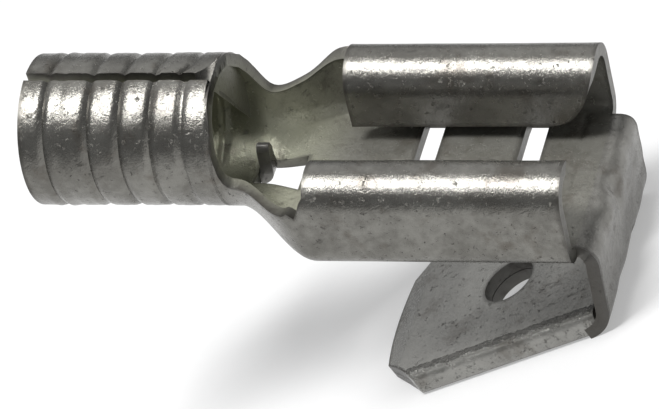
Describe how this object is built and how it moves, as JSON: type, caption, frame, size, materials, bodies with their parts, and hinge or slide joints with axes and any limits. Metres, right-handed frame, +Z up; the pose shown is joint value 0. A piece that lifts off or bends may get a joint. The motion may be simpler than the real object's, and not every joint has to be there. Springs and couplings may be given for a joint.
{
  "type": "piggyback female spade terminal",
  "caption": "Uninsulated 6.3 mm piggyback spade terminal: rolled receptacle, grooved wire barrel and a folded-back male tab, from one tinned brass sheet.",
  "frame": {"origin": "centre of the male tab's latch hole, on the tab's underside, which the terminal rests on", "axes": "+X along the tab towards the fold and the mouth, +Y across the terminal, +Z up from the tab's underside towards the receptacle"},
  "size_m": [0.0167, 0.0074, 0.014],
  "materials": {
    "tinned_brass": "dull tin plating over brass"
  },
  "bodies": {
    "root": {"terminal": "tinned_brass"}
  },
  "joints": []
}
